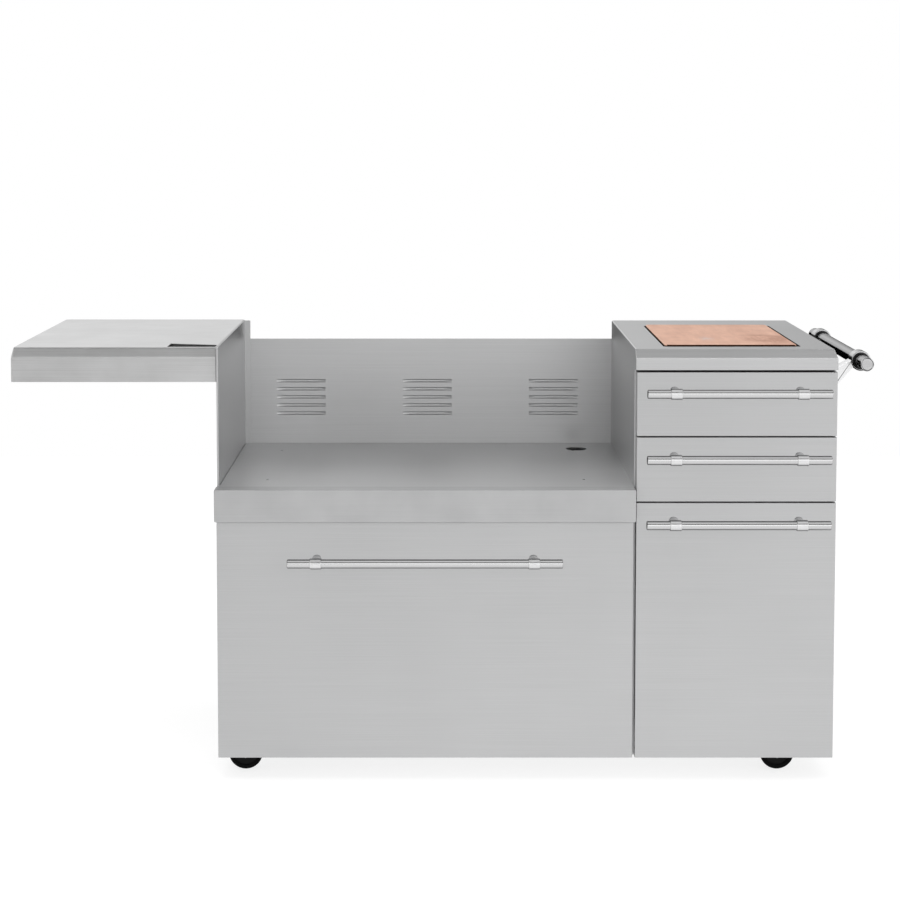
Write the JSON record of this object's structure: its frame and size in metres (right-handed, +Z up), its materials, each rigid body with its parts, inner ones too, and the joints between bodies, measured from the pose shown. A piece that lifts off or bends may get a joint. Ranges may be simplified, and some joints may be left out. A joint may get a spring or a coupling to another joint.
{
  "type": "grill cart",
  "caption": "Stainless steel grill cart with an open grill bay, side shelf, counter with an inset board, pull-out drawers, a push handle and swivel casters.",
  "frame": {"origin": "centre of the object's box, on the floor", "axes": "+Z up, -Y towards the person at the fronts, +X towards the drawers and push handle"},
  "size_m": [1.875, 0.7304, 0.9485],
  "materials": {
    "brushed_steel": "fine brushed grain, satin",
    "polished_steel": "polished",
    "slide_steel": "zinc plated",
    "board": "smooth, pale pink brown",
    "wheel_core": "matte",
    "tyre": "matte rubber",
    "brake_pedal": "matte"
  },
  "bodies": {
    "cabinet": {"base_frame": "brushed_steel", "floor_panel": "brushed_steel", "left_side_panel": "brushed_steel", "divider_panel": "brushed_steel", "right_side_panel": "brushed_steel", "back_panel": "brushed_steel", "deck_rails": "brushed_steel", "grill_deck": "brushed_steel", "trim_band": "brushed_steel", "side_shelf": "brushed_steel", "shelf_arms": "brushed_steel", "shelf_underpan": "brushed_steel", "counter_top": "brushed_steel", "board_tray": "brushed_steel", "push_handle_tube": "polished_steel", "push_handle_brackets": "polished_steel", "caster_plates": "polished_steel", "caster_bolts": "polished_steel", "panel_screws": "polished_steel", "slide_channels": "slide_steel"},
    "top_drawer": {"top_drawer_front": "brushed_steel", "top_drawer_box": "brushed_steel", "top_drawer_runners": "slide_steel", "top_drawer_bar": "polished_steel", "top_drawer_posts": "polished_steel"},
    "top_middles": {"top_slide_middles": "slide_steel"},
    "middle_drawer": {"middle_drawer_front": "brushed_steel", "middle_drawer_box": "brushed_steel", "middle_drawer_runners": "slide_steel", "middle_drawer_bar": "polished_steel", "middle_drawer_posts": "polished_steel"},
    "middle_middles": {"middle_slide_middles": "slide_steel"},
    "deep_drawer": {"deep_drawer_front": "brushed_steel", "deep_drawer_box": "brushed_steel", "deep_drawer_runners": "slide_steel", "deep_drawer_bar": "polished_steel", "deep_drawer_posts": "polished_steel"},
    "deep_middles": {"deep_slide_middles": "slide_steel"},
    "tank_drawer": {"tank_drawer_front": "brushed_steel", "tank_tray": "brushed_steel", "tank_hoop": "polished_steel", "tank_drawer_runners": "slide_steel", "tank_drawer_bar": "polished_steel", "tank_drawer_posts": "polished_steel"},
    "tank_middles": {"tank_slide_middles": "slide_steel"},
    "board": {"cutting_board": "board"},
    "front_left_swivel": {"front_left_fork": "polished_steel"},
    "front_left_roller": {"front_left_wheel": "wheel_core", "front_left_tyre": "tyre"},
    "front_left_pedal": {"front_left_brake": "brake_pedal"},
    "front_right_swivel": {"front_right_fork": "polished_steel"},
    "front_right_roller": {"front_right_wheel": "wheel_core", "front_right_tyre": "tyre"},
    "front_right_pedal": {"front_right_brake": "brake_pedal"},
    "rear_left_swivel": {"rear_left_fork": "polished_steel"},
    "rear_left_roller": {"rear_left_wheel": "wheel_core", "rear_left_tyre": "tyre"},
    "rear_right_swivel": {"rear_right_fork": "polished_steel"},
    "rear_right_roller": {"rear_right_wheel": "wheel_core", "rear_right_tyre": "tyre"}
  },
  "joints": [
    {"name": "top_drawer_slide", "type": "slide", "parent": "cabinet", "child": "top_drawer", "axis": [0, -1, 0], "range_m": [0, 0.5]},
    {"name": "top_middles_slide", "type": "slide", "parent": "cabinet", "child": "top_middles", "axis": [0, -1, 0], "range_m": [0, 0.25]},
    {"name": "middle_drawer_slide", "type": "slide", "parent": "cabinet", "child": "middle_drawer", "axis": [0, -1, 0], "range_m": [0, 0.5]},
    {"name": "middle_middles_slide", "type": "slide", "parent": "cabinet", "child": "middle_middles", "axis": [0, -1, 0], "range_m": [0, 0.25]},
    {"name": "deep_drawer_slide", "type": "slide", "parent": "cabinet", "child": "deep_drawer", "axis": [0, -1, 0], "range_m": [0, 0.5]},
    {"name": "deep_middles_slide", "type": "slide", "parent": "cabinet", "child": "deep_middles", "axis": [0, -1, 0], "range_m": [0, 0.25]},
    {"name": "tank_drawer_slide", "type": "slide", "parent": "cabinet", "child": "tank_drawer", "axis": [0, -1, 0], "range_m": [0, 0.5]},
    {"name": "tank_middles_slide", "type": "slide", "parent": "cabinet", "child": "tank_middles", "axis": [0, -1, 0], "range_m": [0, 0.25]},
    {"name": "board_lift", "type": "slide", "parent": "cabinet", "child": "board", "axis": [0, 0, 1], "range_m": [0, 0.15]},
    {"name": "front_left_swivel", "type": "hinge", "parent": "cabinet", "child": "front_left_swivel", "pos_m": [-0.4125, -0.21675, 0.09], "axis": [0, 0, 1], "continuous": true},
    {"name": "front_left_roll", "type": "hinge", "parent": "front_left_swivel", "child": "front_left_roller", "pos_m": [-0.4405, -0.21675, 0.0375], "axis": [0, 1, 0], "continuous": true},
    {"name": "front_left_brake_press", "type": "hinge", "parent": "front_left_swivel", "child": "front_left_pedal", "pos_m": [-0.4385, -0.21675, 0.08], "axis": [0, -1, 0], "range_deg": [0, 8]},
    {"name": "front_right_swivel", "type": "hinge", "parent": "cabinet", "child": "front_right_swivel", "pos_m": [0.7645, -0.21675, 0.09], "axis": [0, 0, 1], "continuous": true},
    {"name": "front_right_roll", "type": "hinge", "parent": "front_right_swivel", "child": "front_right_roller", "pos_m": [0.7365, -0.21675, 0.0375], "axis": [0, 1, 0], "continuous": true},
    {"name": "front_right_brake_press", "type": "hinge", "parent": "front_right_swivel", "child": "front_right_pedal", "pos_m": [0.7385, -0.21675, 0.08], "axis": [0, -1, 0], "range_deg": [0, 8]},
    {"name": "rear_left_swivel", "type": "hinge", "parent": "cabinet", "child": "rear_left_swivel", "pos_m": [-0.4125, 0.23525, 0.09], "axis": [0, 0, 1], "continuous": true},
    {"name": "rear_left_roll", "type": "hinge", "parent": "rear_left_swivel", "child": "rear_left_roller", "pos_m": [-0.4405, 0.23525, 0.0375], "axis": [0, 1, 0], "continuous": true},
    {"name": "rear_right_swivel", "type": "hinge", "parent": "cabinet", "child": "rear_right_swivel", "pos_m": [0.7645, 0.23525, 0.09], "axis": [0, 0, 1], "continuous": true},
    {"name": "rear_right_roll", "type": "hinge", "parent": "rear_right_swivel", "child": "rear_right_roller", "pos_m": [0.7365, 0.23525, 0.0375], "axis": [0, 1, 0], "continuous": true}
  ],
  "couplings": [
    {"joint": "top_middles_slide", "follows": "top_drawer_slide", "ratio": 0.5},
    {"joint": "middle_middles_slide", "follows": "middle_drawer_slide", "ratio": 0.5},
    {"joint": "deep_middles_slide", "follows": "deep_drawer_slide", "ratio": 0.5},
    {"joint": "tank_middles_slide", "follows": "tank_drawer_slide", "ratio": 0.5}
  ]
}
